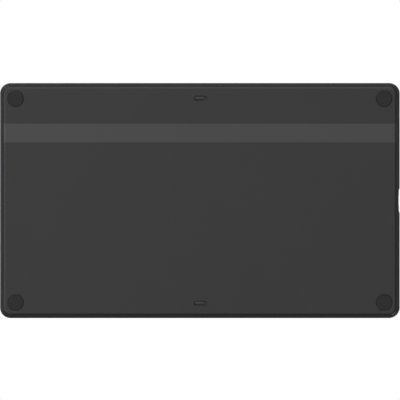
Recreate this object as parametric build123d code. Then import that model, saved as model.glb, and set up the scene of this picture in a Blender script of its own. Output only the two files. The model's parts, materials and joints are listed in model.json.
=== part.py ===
from build123d import *
from math import cos, radians, sin
import os

# A slim pen tablet that lies on four round feet, with its drawing surface up.
# Millimetres. The origin is on the plane that the feet stand on, below the middle
# of the outline. +X is the user's right, +Y is away from the user and +Z is up.
#
# The case is a front shell and a back cover, held by four screws hidden under the
# feet and by two snap latches that show in windows of the cover. The left strip
# holds eight keys and a dial, all carried by one control board with the socket at
# its left edge. A sensor board lies under the drawing sheet, with a shield below.

# Case outline
BODY_LENGTH = 320.0
BODY_DEPTH = 188.2
BODY_THICKNESS = 8.6
CORNER_RADIUS = 8.4
FOOT_PROUD = 0.9

# Front shell, whose sides slope in towards the back
TOP_PLATE = 1.8
SIDE_WALL = 1.8
TOP_ROUND = 1.2
SLOPE_INSET = 1.8
SLOPE_HEIGHT = 2.4
SLOPE_ROUND = 3.0
LAND_WIDTH = 0.4
LAND_ROUND = 0.25
GROOVE_WIDTH = 0.3
GROOVE_DEPTH = 0.5

# Back cover
FLOOR = 1.6
COVER_HEIGHT = 2.3
COVER_ROUND = 2.0
LIP_GAP = 0.12
LIP_WIDTH = 1.0
LIP_RISE = 1.4
NOTCH_GAP = 0.29
RIB_WIDTH = 1.2
RIB_GAP = 0.1
RIBS_ALONG_X = 5
RIBS_ALONG_Y = 7

# Smooth band across the back, an inlay that wraps over both rounded ends
BAND_WIDTH = 15.1
BAND_INSET = 40.1
BAND_THICKNESS = 0.4
BAND_GAP = 0.06

# Feet and the screws under them
FOOT_DIAMETER = 12.6
FOOT_INSET = 12.7
FOOT_RECESS = 0.5
FOOT_GAP = 0.3
FOOT_ROUND = 0.35
SCREW_DIAMETER = 2.4
SCREW_HEAD_DIAMETER = 4.6
SCREW_HEAD = 1.2
SCREW_THREAD = 3.9
SCREW_GAP = 0.2
SCREW_WEB = 1.3
CROSS_REACH = 0.55
INSERT_DIAMETER = 3.9
INSERT_LENGTH = 2.9
INSERT_BORE_GAP = 0.05
BOSS_DIAMETER = 5.8
BOSS_GAP = 0.05
PILLAR_WALL = 1.7

# Snap latches in the middle of the long sides
LATCH_INSET = 12.4
LATCH_X = 0.4
LATCH_LENGTH = 7.0
LATCH_END_GAP = 0.3
LATCH_TOOL_GAP = 2.4
LATCH_WINDOW_WIDTH = 3.6
LATCH_WINDOW_CORNER = 0.8
LATCH_STEM = 1.2
LATCH_BARB = 0.5
LATCH_BARB_HEIGHT = 0.85
LATCH_SET_BACK = 0.3
LATCH_LEDGE = 0.9
LATCH_GAP = 0.05
LATCH_FLEX = 0.8
LATCH_MOUTH_BEVEL = 0.25
LATCH_LIP = 1.3
LATCH_LIP_GAP = 0.2
LATCH_LIP_THICKNESS = 0.6

# Drawing sheet in the front shell
SHEET_MARGIN = 3.2
SHEET_THICKNESS = 0.5
SHEET_CORNER = 5.2
SHEET_GAP = 0.1

# Sensor board, its glue and its shield
GLUE_THICKNESS = 0.1
SENSOR_THICKNESS = 0.8
SENSOR_SIDE_INSET = 7.0
SENSOR_LATCH_CLEARANCE = 1.2
SENSOR_BOSS_CLEARANCE = 0.6
SENSOR_STRIP_GAP = 4.0
SHIELD_THICKNESS = 0.4
SHIELD_STRIP_GAP = 13.0
SHIELD_EDGE = 1.5

# Control board
BOARD_THICKNESS = 0.8
BOARD_LEFT_INSET = 6.5
BOARD_RIGHT_GAP = 2.0
BOARD_TAB_GAP = 0.4
BOARD_TAB_HALF_WIDTH = 7.0
BOARD_END_MARGIN = 4.0
BOARD_BOSS_CLEARANCE = 0.6
BOARD_SCREW_DIAMETER = 1.9
BOARD_SCREW_HEAD_DIAMETER = 3.8
BOARD_SCREW_HEAD = 0.5
BOARD_SCREW_LENGTH = 3.6
BOARD_SCREW_GAP = 0.1
BOARD_SCREW_FLOOR_GAP = 0.2
BOARD_SCREW_X = 16.0
BOARD_SCREW_Y = 33.3
BOARD_BOSS_DIAMETER = 4.4

# Socket in the left edge, and the scoop that frames it
USB_WIDTH = 8.94
USB_HEIGHT = 3.26
USB_LENGTH = 7.35
USB_WALL = 0.3
USB_HEADROOM = 0.15
USB_OPENING_GAP = 0.15
USB_SET_BACK = 0.55
USB_TONGUE_WIDTH = 6.69
USB_TONGUE_THICKNESS = 0.7
USB_TONGUE_LENGTH = 4.45
USB_BLOCK_LENGTH = 2.2
USB_CONTACTS = 12
USB_CONTACT_PITCH = 0.5
USB_CONTACT_WIDTH = 0.26
USB_CONTACT_LENGTH = 3.2
USB_CONTACT_THICKNESS = 0.05
USB_LEG_LENGTH = 1.1
USB_LEG_GAP = 0.1
USB_LEG_WEB = 0.35
USB_LEG_PITCH = 2.25
SCOOP_DEPTH = 0.75
SCOOP_FLAT = 16.6
SCOOP_SLOPE = 1.9

# Keys
KEYS_PER_SIDE = 4
KEY_WIDTH = 18.0
KEY_END_MARGIN = 24.7
KEY_CORNER = 2.2
KEY_GAP = 0.2
KEY_WEB = 1.4
KEY_PROUD = 0.3
KEY_TRAVEL = 0.45
KEY_FLANGE = 0.6
KEY_FLANGE_THICKNESS = 0.8
KEY_FLANGE_GAP = 0.1
KEY_DISH_RADIUS = 62.0
KEY_DISH_DEPTH = 0.18
KEY_EDGE_ROUND = 0.45
KEY_TOP_PLATE = 1.2
KEY_WALL = 1.1
KEY_NUB_DIAMETER = 2.6
KEY_MARKED = (2, 7)
KEY_MARK_DIAMETER = 1.4

# Press switches under the keys and under the dial's button
SWITCH_SIDE = 5.2
SWITCH_HEIGHT = 1.4
SWITCH_BASE = 0.25
SWITCH_ROOF = 0.15
SWITCH_WALL = 0.6
PLUNGER_DIAMETER = 2.3
PLUNGER_GAP = 0.1
PLUNGER_FLANGE = 0.6
PLUNGER_FLANGE_THICKNESS = 0.35
PLUNGER_ROOF_GAP = 0.02
PLUNGER_PROUD = 0.65
PLUNGER_CAP_GAP = 0.05

# Dial
DIAL_RADIUS = 18.8
DIAL_HOLE_GAP = 0.4
DIAL_PROUD = 2.0
DIAL_ROUND = 0.7
DIAL_PLATE_GAP = 0.2
DIAL_SKIRT_WALL = 1.6
DIAL_RUNNING_GAP = 0.08
DIAL_SLEEVE_WALL = 1.6
DIAL_SHOULDER = 0.8
DIAL_TOP_WALL = 1.7
DIAL_CORE_WALL = 2.0
DIAL_KEY_CLEARANCE = 3.0
DIAL_FLUTES = 48
DIAL_FLUTE_RADIUS = 0.5
DIAL_FLUTE_DEPTH = 0.25
TRIM_THICKNESS = 0.4
TRIM_EDGE = 1.3
POST_RADIUS = 10.0
POST_WALL = 2.0
POST_LEDGE = 2.4
POST_FLANGE_REACH = 1.4
POST_FLANGE = 0.7
POST_FLANGE_GAP = 0.1
CLIP_THICKNESS = 0.4
CLIP_GROOVE_DEPTH = 0.5
CLIP_GAP = 0.05
CLIP_PROUD = 0.8
CLIP_MOUTH_DEGREES = 40.0
BUTTON_GAP = 0.3
BUTTON_SET_BACK = 0.4
BUTTON_PLATE = 0.7
BUTTON_STEM_GAP = 0.1
BUTTON_STEM_WALL = 1.2
BUTTON_LEDGE = 0.8
BUTTON_FLANGE = 0.5
BUTTON_FLANGE_GAP = 0.1
BUTTON_ROUND = 0.3

# Encoder of the dial
WHEEL_THICKNESS = 0.4
WHEEL_REACH = 4.7
WHEEL_SOCKET_GAP = 0.47
WHEEL_RISE = 0.3
WHEEL_SLOTS = 30
WHEEL_SLOT_WIDTH = 1.0
WHEEL_SLOT_LENGTH = 2.0
WHEEL_SLOT_EDGE = 0.8
ENCODER_WIDTH = 5.0
ENCODER_REACH = 1.6
ENCODER_BACK = 1.6
ENCODER_GAP = 0.35
ENCODER_ARM = 0.65
SPRING_THICKNESS = 0.25
SPRING_HEIGHT = 1.5
SPRING_HALF_LENGTH = 8.0
SPRING_FOOT = 1.5
SPRING_GAP = 0.25
SPRING_RISE = 0.3
SPRING_BUMP_HALF = 2.6

# Parts on the control board
LED_KEY_CLEARANCE = 4.4
LED_LENGTH = 1.6
LED_WIDTH = 0.8
LED_HEIGHT = 0.6
PIPE_DIAMETER = 1.8
PIPE_FLANGE = 0.6
PIPE_FLANGE_THICKNESS = 0.6
PIPE_GAP = 0.1
CONTROLLER_SIDE = 7.0
CONTROLLER_HEIGHT = 1.2
CONTROLLER_PINS = 10
CONTROLLER_PITCH = 0.6
CHIP_LENGTH = 6.0
CHIP_WIDTH = 3.9
CHIP_HEIGHT = 1.1
CHIP_PINS = 7
CHIP_PITCH = 0.8
PIN_WIDTH = 0.3
PIN_REACH = 0.8
PIN_RISE = 0.2
CHIP_BEVEL = 0.12
CRYSTAL_LENGTH = 3.2
CRYSTAL_WIDTH = 2.5
CRYSTAL_HEIGHT = 0.8
SMALL_PART_LENGTH = 1.6
SMALL_PART_WIDTH = 0.8
SMALL_PART_HEIGHT = 0.7
SMALL_PART_PITCH = 2.2
SMALL_PART_EDGE = 1.6
SMALL_PARTS_PER_ROW = 6

# Flat ribbon between the two boards
RIBBON_WIDTH = 12.0
RIBBON_THICKNESS = 0.3
RIBBON_BEND = 1.2
SOCKET_LENGTH = 5.0
SOCKET_WALL = 1.0
SOCKET_HEIGHT = 1.0
SOCKET_SLOT_DEPTH = 2.5
SOCKET_SLOT_GAP = 0.05
SOCKET_EDGE = 0.6

# Heights, from the plane that the feet stand on
BACK_Z = FOOT_PROUD
FLOOR_Z = BACK_Z + FLOOR
SPLIT_Z = BACK_Z + COVER_HEIGHT
SLOPE_TOP_Z = SPLIT_Z + SLOPE_HEIGHT
TOP_Z = BACK_Z + BODY_THICKNESS
PLATE_UNDER_Z = TOP_Z - TOP_PLATE
SHEET_LOW_Z = TOP_Z - SHEET_THICKNESS
SENSOR_TOP_Z = PLATE_UNDER_Z - GLUE_THICKNESS
SENSOR_LOW_Z = SENSOR_TOP_Z - SENSOR_THICKNESS
SHIELD_LOW_Z = SENSOR_LOW_Z - SHIELD_THICKNESS
BOARD_TOP_Z = PLATE_UNDER_Z - USB_HEADROOM - USB_HEIGHT
BOARD_LOW_Z = BOARD_TOP_Z - BOARD_THICKNESS
USB_Z = BOARD_TOP_Z + USB_HEIGHT / 2
SCREW_SEAT_Z = BACK_Z + FOOT_RECESS + SCREW_HEAD + SCREW_GAP / 2
PILLAR_TOP_Z = SCREW_SEAT_Z + SCREW_WEB
BOSS_LOW_Z = PILLAR_TOP_Z + BOSS_GAP
SWITCH_TOP_Z = BOARD_TOP_Z + SWITCH_HEIGHT
PLUNGER_TOP_Z = SWITCH_TOP_Z + PLUNGER_PROUD
NUB_LOW_Z = PLUNGER_TOP_Z + PLUNGER_CAP_GAP
KEY_TOP_Z = TOP_Z + KEY_PROUD
KEY_FLANGE_TOP_Z = PLATE_UNDER_Z - KEY_FLANGE_GAP
KEY_FLANGE_LOW_Z = KEY_FLANGE_TOP_Z - KEY_FLANGE_THICKNESS
DIAL_TOP_Z = TOP_Z + DIAL_PROUD
DIAL_SKIRT_Z = PLATE_UNDER_Z + DIAL_PLATE_GAP
BUTTON_TOP_Z = DIAL_TOP_Z - BUTTON_SET_BACK
BUTTON_LOW_Z = BUTTON_TOP_Z - BUTTON_PLATE
POST_TOP_Z = BUTTON_LOW_Z - KEY_TRAVEL - CLIP_GAP
CLIP_TOP_Z = POST_TOP_Z - CLIP_GAP
CLIP_LOW_Z = CLIP_TOP_Z - CLIP_THICKNESS
DIAL_STEP_Z = CLIP_LOW_Z - CLIP_GAP
POST_LEDGE_Z = POST_TOP_Z - POST_LEDGE
BUTTON_FLANGE_TOP_Z = POST_LEDGE_Z - BUTTON_FLANGE_GAP
SLEEVE_LOW_Z = BOARD_TOP_Z + POST_FLANGE + POST_FLANGE_GAP
WHEEL_LOW_Z = SLEEVE_LOW_Z + WHEEL_RISE
WHEEL_TOP_Z = WHEEL_LOW_Z + WHEEL_THICKNESS
LED_TOP_Z = BOARD_TOP_Z + LED_HEIGHT

# Places in plan
LEFT_X = -BODY_LENGTH / 2
RIGHT_X = BODY_LENGTH / 2
FAR_Y = BODY_DEPTH / 2
DIAL_HOLE_RADIUS = DIAL_RADIUS + DIAL_HOLE_GAP
POST_BORE_RADIUS = POST_RADIUS - POST_WALL
SLEEVE_BORE_RADIUS = POST_RADIUS + DIAL_RUNNING_GAP
SLEEVE_RADIUS = SLEEVE_BORE_RADIUS + DIAL_SLEEVE_WALL
WHEEL_RADIUS = SLEEVE_RADIUS + WHEEL_REACH
BUTTON_RADIUS = POST_RADIUS + CLIP_PROUD
WELL_RADIUS = BUTTON_RADIUS + BUTTON_GAP
USB_MOUTH_X = LEFT_X + SCOOP_DEPTH + USB_SET_BACK
USB_BACK_X = USB_MOUTH_X + USB_LENGTH
STRIP_X = USB_BACK_X + WHEEL_SOCKET_GAP + WHEEL_RADIUS
STRIP_WIDTH = 2 * (STRIP_X - LEFT_X)
SHEET_LEFT_X = LEFT_X + STRIP_WIDTH
SHEET_RIGHT_X = RIGHT_X - SHEET_MARGIN
SHEET_HALF_DEPTH = FAR_Y - SHEET_MARGIN
GROOVE_INSET = SLOPE_INSET + LAND_WIDTH
COVER_INSET = GROOVE_INSET + GROOVE_WIDTH
LIP_INSET = SLOPE_INSET + SIDE_WALL + LIP_GAP
CAVITY_INSET = LIP_INSET + LIP_WIDTH
LIP_TOP_Z = SPLIT_Z + LIP_RISE
FOOT_PLACES = {
    "rear_left": (LEFT_X + FOOT_INSET, FAR_Y - FOOT_INSET),
    "rear_right": (RIGHT_X - FOOT_INSET, FAR_Y - FOOT_INSET),
    "front_left": (LEFT_X + FOOT_INSET, FOOT_INSET - FAR_Y),
    "front_right": (RIGHT_X - FOOT_INSET, FOOT_INSET - FAR_Y),
}
LATCH_Y = FAR_Y - LATCH_INSET
LATCH_STEM_INNER = LATCH_Y + LATCH_WINDOW_WIDTH / 2 - LATCH_LEDGE - LATCH_GAP * 2 - LATCH_STEM
LATCH_SPACING = 2 * LATCH_STEM_INNER + LATCH_STEM
BAND_Y = FAR_Y - BAND_INSET
KEY_START_Y = DIAL_HOLE_RADIUS + DIAL_KEY_CLEARANCE
KEY_PITCH = (FAR_Y - KEY_END_MARGIN - KEY_START_Y) / KEYS_PER_SIDE
KEY_DEPTH = KEY_PITCH - 2 * KEY_GAP - KEY_WEB
KEY_FIRST_Y = KEY_START_Y + KEY_GAP + KEY_DEPTH / 2
KEY_LAST_Y = KEY_FIRST_Y + (KEYS_PER_SIDE - 1) * KEY_PITCH
LED_Y = KEY_LAST_Y + KEY_DEPTH / 2 + LED_KEY_CLEARANCE
BOARD_LEFT_X = LEFT_X + BOARD_LEFT_INSET
BOARD_TAB_X = LEFT_X + LIP_INSET + BOARD_TAB_GAP
BOARD_RIGHT_X = SHEET_LEFT_X - BOARD_RIGHT_GAP
BOARD_HALF_DEPTH = KEY_LAST_Y + BOARD_END_MARGIN
SENSOR_LEFT_X = SHEET_LEFT_X + SENSOR_STRIP_GAP
SENSOR_RIGHT_X = RIGHT_X - SENSOR_SIDE_INSET
SENSOR_HALF_DEPTH = LATCH_STEM_INNER - SENSOR_LATCH_CLEARANCE
BOARD_SOCKET_X = BOARD_RIGHT_X - SOCKET_EDGE
SENSOR_SOCKET_X = SENSOR_LEFT_X + SOCKET_EDGE
SMALL = 0.01


def block(x, y, z):
    """A box between two values on each axis."""
    size = (x[1] - x[0], y[1] - y[0], z[1] - z[0])
    return Pos(x[0], y[0], z[0]) * Box(*size, align=(Align.MIN,) * 3)


def middle_block(x, y, length, width, z):
    """A box centred on x and y, between two heights."""
    return block((x - length / 2, x + length / 2), (y - width / 2, y + width / 2), z)


def disc(x, y, radius, z):
    """An upright cylinder between two heights."""
    return Pos(x, y, z[0]) * Cylinder(radius, z[1] - z[0], align=(Align.CENTER, Align.CENTER, Align.MIN))


def tube(x, y, outer, inner, z):
    """An upright tube between two heights."""
    return disc(x, y, outer, z) - disc(x, y, inner, (z[0] - SMALL, z[1] + SMALL))


def outline(inset, z):
    """The case outline drawn in by an inset on every side, at a height."""
    length = BODY_LENGTH - 2 * inset
    depth = BODY_DEPTH - 2 * inset
    return Pos(0, 0, z) * RectangleRounded(length, depth, CORNER_RADIUS - inset)


def slab(inset, z):
    """The case outline drawn in by an inset on every side, between two heights."""
    return extrude(outline(inset, z[0]), z[1] - z[0])


def sloped_form(wall, top):
    """The shell's outer form, or its inside when drawn in by a wall: sloped below, upright above."""
    sides = [outline(wall + SLOPE_INSET, SPLIT_Z), outline(wall, SLOPE_TOP_Z)]
    return loft(sides, ruled=True) + slab(wall, (SLOPE_TOP_Z, top))


def rounded_plate(x, y, radius, z):
    """A plate with round corners in plan, between two values on each axis."""
    plan = RectangleRounded(x[1] - x[0], y[1] - y[0], radius)
    return Pos((x[0] + x[1]) / 2, (y[0] + y[1]) / 2, z[0]) * extrude(plan, z[1] - z[0])


def key_plate(x, y, grow, radius, z):
    """A plate with a key's plan, grown by a margin on every side."""
    half_width = KEY_WIDTH / 2 + grow
    half_depth = KEY_DEPTH / 2 + grow
    return rounded_plate((x - half_width, x + half_width), (y - half_depth, y + half_depth), radius, z)


def key_places():
    """Number, X and Y of each key, from the far end of the strip to the near end."""
    steps = [KEY_FIRST_Y + i * KEY_PITCH for i in range(KEYS_PER_SIDE)]
    rows = [y for y in reversed(steps)] + [-y for y in steps]
    return [(number, STRIP_X, y) for number, y in enumerate(rows, start=1)]


def board_screw_places():
    """X and Y of the four screws of the control board."""
    return [(STRIP_X + i * BOARD_SCREW_X, j * BOARD_SCREW_Y) for i in (-1, 1) for j in (-1, 1)]


def scoop():
    """The shallow scoop in the left edge around the socket."""
    half = SCOOP_FLAT / 2
    mouth = half + SCOOP_SLOPE * (SCOOP_DEPTH + 1) / SCOOP_DEPTH
    deep = LEFT_X + SCOOP_DEPTH
    open_x = LEFT_X - 1
    plan = Polyline((open_x, -mouth), (deep, -half), (deep, half), (open_x, mouth), close=True)
    return extrude(make_face(plan), TOP_Z + 1)


def usb_opening():
    """The way through the left wall for the socket and a plug."""
    width = USB_WIDTH + 2 * USB_OPENING_GAP
    height = USB_HEIGHT + 2 * USB_OPENING_GAP
    face = Plane.YZ.offset(LEFT_X - 1) * Pos(0, USB_Z) * RectangleRounded(width, height, height / 2 - SMALL)
    return extrude(face, LIP_INSET + 1)


def lip_notch():
    """The gap in the cover's lip where the board's tab and the socket pass."""
    half = BOARD_TAB_HALF_WIDTH + BOARD_TAB_GAP
    x = (LEFT_X + LIP_INSET - SMALL, LEFT_X + CAVITY_INSET + SMALL)
    return block(x, (-half, half), (BOARD_LOW_Z - NOTCH_GAP, LIP_TOP_Z + SMALL))


def shadow_groove():
    """The narrow groove in the shell's lower edge that sets the cover off all round."""
    z = (SPLIT_Z - SMALL, SPLIT_Z + GROOVE_DEPTH)
    return slab(GROOVE_INSET, z) - slab(COVER_INSET, z)


def latch_span(margin):
    """The latch hook's two ends along X, moved outwards by a margin."""
    return (LATCH_X - LATCH_LENGTH / 2 - margin, LATCH_X + LATCH_LENGTH / 2 + margin)


def both_latches(shape):
    """A shape at the far latch and its copy at the near one, which faces the same way."""
    return [shape, Pos(0, -LATCH_SPACING, 0) * shape]


def latch_hook():
    """A snap hook that hangs from the front shell, with a lip that closes its window to dust."""
    inner = LATCH_STEM_INNER
    outer = inner + LATCH_STEM
    low = BACK_Z + LATCH_SET_BACK
    lip_z = FLOOR_Z + LATCH_LIP_GAP
    stem = block(latch_span(0), (inner, outer), (low, PLATE_UNDER_Z + SMALL))
    barb = block(latch_span(0), (outer, outer + LATCH_BARB), (low, low + LATCH_BARB_HEIGHT))
    lip_x = latch_span(LATCH_END_GAP + LATCH_LIP_GAP)
    lip = block(lip_x, (inner - LATCH_LIP, outer), (lip_z, lip_z + LATCH_LIP_THICKNESS))
    return stem + barb + lip


def latch_window():
    """The window in the cover: a blind recess with room for a tool, and the throat for the hook."""
    x = (latch_span(LATCH_TOOL_GAP)[0], latch_span(LATCH_END_GAP)[1])
    low = LATCH_Y - LATCH_WINDOW_WIDTH / 2
    high = LATCH_Y + LATCH_WINDOW_WIDTH / 2
    ledge_z = BACK_Z + LATCH_SET_BACK + LATCH_BARB_HEIGHT + LATCH_GAP
    window = rounded_plate(x, (low, high), LATCH_WINDOW_CORNER, (BACK_Z - 1, ledge_z))
    bevel = LATCH_MOUTH_BEVEL
    length = x[1] - x[0] + 2 * bevel
    rim = RectangleRounded(length, high - low + 2 * bevel, LATCH_WINDOW_CORNER + bevel)
    mouth = Pos((x[0] + x[1]) / 2, LATCH_Y, BACK_Z) * extrude(rim, bevel, taper=45)
    throat_y = (LATCH_STEM_INNER - LATCH_FLEX, high - LATCH_LEDGE)
    throat = block(latch_span(LATCH_END_GAP), throat_y, (ledge_z - SMALL, FLOOR_Z + SMALL))
    return window + mouth + throat


def front_shell():
    """The front moulding: plate, sloped side wall, bosses, hooks and every opening."""
    shell = sloped_form(0, TOP_Z)
    bend = shell.edges().filter_by_position(Axis.Z, SLOPE_TOP_Z - SMALL, SLOPE_TOP_Z + SMALL)
    shell = fillet(bend, SLOPE_ROUND)
    shell = fillet(shell.edges().group_by(Axis.Z)[-1], TOP_ROUND)
    shell = fillet(shell.edges().group_by(Axis.Z)[0], LAND_ROUND)
    shell -= sloped_form(SIDE_WALL, PLATE_UNDER_Z)
    shell += both_latches(latch_hook())
    holes = [scoop(), usb_opening(), shadow_groove()]
    sheet_x = (SHEET_LEFT_X, SHEET_RIGHT_X)
    sheet_y = (-SHEET_HALF_DEPTH, SHEET_HALF_DEPTH)
    holes.append(rounded_plate(sheet_x, sheet_y, SHEET_CORNER, (SHEET_LOW_Z, TOP_Z + 1)))
    for x, y in FOOT_PLACES.values():
        shell += disc(x, y, BOSS_DIAMETER / 2, (BOSS_LOW_Z, PLATE_UNDER_Z + SMALL))
        holes.append(disc(x, y, INSERT_DIAMETER / 2, (BOSS_LOW_Z - SMALL, BOSS_LOW_Z + INSERT_LENGTH)))
        screw_end = SCREW_SEAT_Z + SCREW_THREAD + SCREW_GAP
        holes.append(disc(x, y, SCREW_DIAMETER / 2 + SCREW_GAP, (BOSS_LOW_Z, screw_end)))
    for x, y in board_screw_places():
        shell += disc(x, y, BOARD_BOSS_DIAMETER / 2, (BOARD_TOP_Z, PLATE_UNDER_Z + SMALL))
        screw_end = BOARD_LOW_Z + BOARD_SCREW_LENGTH + BOARD_SCREW_GAP
        holes.append(disc(x, y, BOARD_SCREW_DIAMETER / 2, (BOARD_TOP_Z - SMALL, screw_end)))
    through = (PLATE_UNDER_Z - SMALL, TOP_Z + 1)
    for _, x, y in key_places():
        holes.append(key_plate(x, y, KEY_GAP, KEY_CORNER + KEY_GAP, through))
    holes.append(disc(STRIP_X, 0, DIAL_HOLE_RADIUS, through))
    holes.append(disc(STRIP_X, LED_Y, PIPE_DIAMETER / 2 + PIPE_GAP, through))
    return shell - holes


def drawing_sheet():
    """The textured sheet let into the front shell."""
    return rounded_plate(
        (SHEET_LEFT_X + SHEET_GAP, SHEET_RIGHT_X - SHEET_GAP),
        (SHEET_GAP - SHEET_HALF_DEPTH, SHEET_HALF_DEPTH - SHEET_GAP),
        SHEET_CORNER - SHEET_GAP,
        (SHEET_LOW_Z, TOP_Z),
    )


def cover_skin(depth):
    """The cover's outer form, drawn in by a depth below and at the sides."""
    form = slab(COVER_INSET + depth, (BACK_Z + depth, SPLIT_Z))
    return fillet(form.edges().group_by(Axis.Z)[0], COVER_ROUND - depth)


def band_form(gap):
    """The smooth band: the cover's own skin over the band's width, narrowed by a gap."""
    low = BAND_Y - BAND_WIDTH / 2 + gap
    high = BAND_Y + BAND_WIDTH / 2 - gap
    slice_of_cover = block((LEFT_X, RIGHT_X), (low, high), (0, SPLIT_Z - BAND_THICKNESS - gap))
    return (cover_skin(0) & slice_of_cover) - cover_skin(BAND_THICKNESS)


def rib_field():
    """The grid of ribs under the shield."""
    left = SHEET_LEFT_X + SHIELD_STRIP_GAP + SHIELD_EDGE
    right = RIGHT_X - 2 * FOOT_INSET
    half_depth = FAR_Y - 2 * FOOT_INSET
    z = (FLOOR_Z - SMALL, SHIELD_LOW_Z - RIB_GAP)
    ribs = []
    for i in range(RIBS_ALONG_X):
        y = -half_depth + 2 * half_depth * i / (RIBS_ALONG_X - 1)
        ribs.append(block((left, right), (y - RIB_WIDTH / 2, y + RIB_WIDTH / 2), z))
    for i in range(RIBS_ALONG_Y):
        x = left + RIB_WIDTH / 2 + (right - left - RIB_WIDTH) * i / (RIBS_ALONG_Y - 1)
        ribs.append(block((x - RIB_WIDTH / 2, x + RIB_WIDTH / 2), (-half_depth, half_depth), z))
    return ribs


def back_cover():
    """The back moulding: rounded skin, lip, ribs, screw pillars and windows."""
    cover = cover_skin(0) + slab(LIP_INSET, (SPLIT_Z - SMALL, LIP_TOP_Z))
    cover -= slab(CAVITY_INSET, (FLOOR_Z, LIP_TOP_Z + SMALL))
    cover += rib_field()
    pocket = SCREW_HEAD_DIAMETER / 2 + SCREW_GAP
    holes = [*both_latches(latch_window()), lip_notch(), band_form(0)]
    for x, y in FOOT_PLACES.values():
        cover += disc(x, y, pocket + PILLAR_WALL, (FLOOR_Z - SMALL, PILLAR_TOP_Z))
        holes.append(disc(x, y, FOOT_DIAMETER / 2 + FOOT_GAP, (BACK_Z - 1, BACK_Z + FOOT_RECESS)))
        holes.append(disc(x, y, pocket, (BACK_Z, SCREW_SEAT_Z)))
        holes.append(disc(x, y, SCREW_DIAMETER / 2 + SCREW_GAP, (SCREW_SEAT_Z - SMALL, PILLAR_TOP_Z + SMALL)))
    relief = BOARD_SCREW_HEAD_DIAMETER / 2 + BOARD_SCREW_FLOOR_GAP
    relief_z = min(FLOOR_Z, BOARD_LOW_Z - BOARD_SCREW_HEAD - BOARD_SCREW_FLOOR_GAP)
    holes += [disc(x, y, relief, (relief_z, FLOOR_Z + SMALL)) for x, y in board_screw_places()]
    return cover - holes


def back_band():
    """The smooth band, with a hairline gap to the cover along its long sides."""
    return band_form(BAND_GAP)


def foot(x, y):
    """One round rubber foot, with a softened lower edge."""
    pad = disc(x, y, FOOT_DIAMETER / 2, (0, BACK_Z + FOOT_RECESS))
    return fillet(pad.edges().group_by(Axis.Z)[0], FOOT_ROUND)


def cross_recess(x, y, low, depth, reach):
    """A cross cut into the underside of a screw head."""
    z = (low - SMALL, low + depth)
    return [middle_block(x, y, reach, reach / 4, z), middle_block(x, y, reach / 4, reach, z)]


def case_screws():
    """Four screws that enter from the back, under the feet."""
    screws = []
    for x, y in FOOT_PLACES.values():
        low = SCREW_SEAT_Z - SCREW_HEAD
        head = disc(x, y, SCREW_HEAD_DIAMETER / 2, (low, SCREW_SEAT_Z))
        head = fillet(head.edges().group_by(Axis.Z)[0], SCREW_HEAD / 4)
        shank = disc(x, y, SCREW_DIAMETER / 2, (SCREW_SEAT_Z - SMALL, SCREW_SEAT_Z + SCREW_THREAD))
        reach = SCREW_HEAD_DIAMETER * CROSS_REACH
        screws.append(head + shank - cross_recess(x, y, low, SCREW_HEAD / 2, reach))
    return Compound(children=screws)


def screw_inserts():
    """Four brass inserts in the bosses of the front shell."""
    bore = SCREW_DIAMETER / 2 + INSERT_BORE_GAP
    z = (BOSS_LOW_Z, BOSS_LOW_Z + INSERT_LENGTH)
    return Compound(children=[tube(x, y, INSERT_DIAMETER / 2, bore, z) for x, y in FOOT_PLACES.values()])


def sensor_layer(z, left, edge):
    """One layer of the sensor stack, notched where it passes the screw bosses."""
    half_depth = SENSOR_HALF_DEPTH - edge
    layer = block((left, SENSOR_RIGHT_X - edge), (-half_depth, half_depth), z)
    reach = BOSS_DIAMETER / 2 + SENSOR_BOSS_CLEARANCE
    for x, y in FOOT_PLACES.values():
        corner_x = (x - reach, RIGHT_X) if x > 0 else (LEFT_X, x + reach)
        corner_y = (y - reach, FAR_Y) if y > 0 else (-FAR_Y, y + reach)
        layer -= block(corner_x, corner_y, (z[0] - 1, z[1] + 1))
    return layer


def sensor_glue():
    """The sheet of glue between the front shell and the sensor board."""
    return sensor_layer((SENSOR_TOP_Z, PLATE_UNDER_Z), SENSOR_LEFT_X, SHIELD_EDGE)


def sensor_board():
    """The wide board that carries the sensing loops."""
    return sensor_layer((SENSOR_LOW_Z, SENSOR_TOP_Z), SENSOR_LEFT_X, 0)


def shield_plate():
    """The thin metal shield behind the sensor board."""
    left = SHEET_LEFT_X + SHIELD_STRIP_GAP
    return sensor_layer((SHIELD_LOW_Z, SENSOR_LOW_Z), left, SHIELD_EDGE)


def ribbon_socket(x, facing, z):
    """A flat socket whose slot faces along X, with its mouth at x."""
    back = x - facing * SOCKET_LENGTH
    half = RIBBON_WIDTH / 2 + SOCKET_WALL
    body = block((min(x, back), max(x, back)), (-half, half), z)
    slot_x = (x - facing * SOCKET_SLOT_DEPTH, x + facing)
    slot_half = RIBBON_WIDTH / 2 + SOCKET_SLOT_GAP
    mid = (z[0] + z[1]) / 2
    slot_z = RIBBON_THICKNESS / 2 + SOCKET_SLOT_GAP
    return body - block((min(slot_x), max(slot_x)), (-slot_half, slot_half), (mid - slot_z, mid + slot_z))


def ribbon_sockets():
    """The two sockets of the flat ribbon, one on each board."""
    on_board = ribbon_socket(BOARD_SOCKET_X, 1, (BOARD_TOP_Z, BOARD_TOP_Z + SOCKET_HEIGHT))
    on_sensor = ribbon_socket(SENSOR_SOCKET_X, -1, (SENSOR_LOW_Z - SOCKET_HEIGHT, SENSOR_LOW_Z))
    return Compound(children=[on_board, on_sensor])


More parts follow.
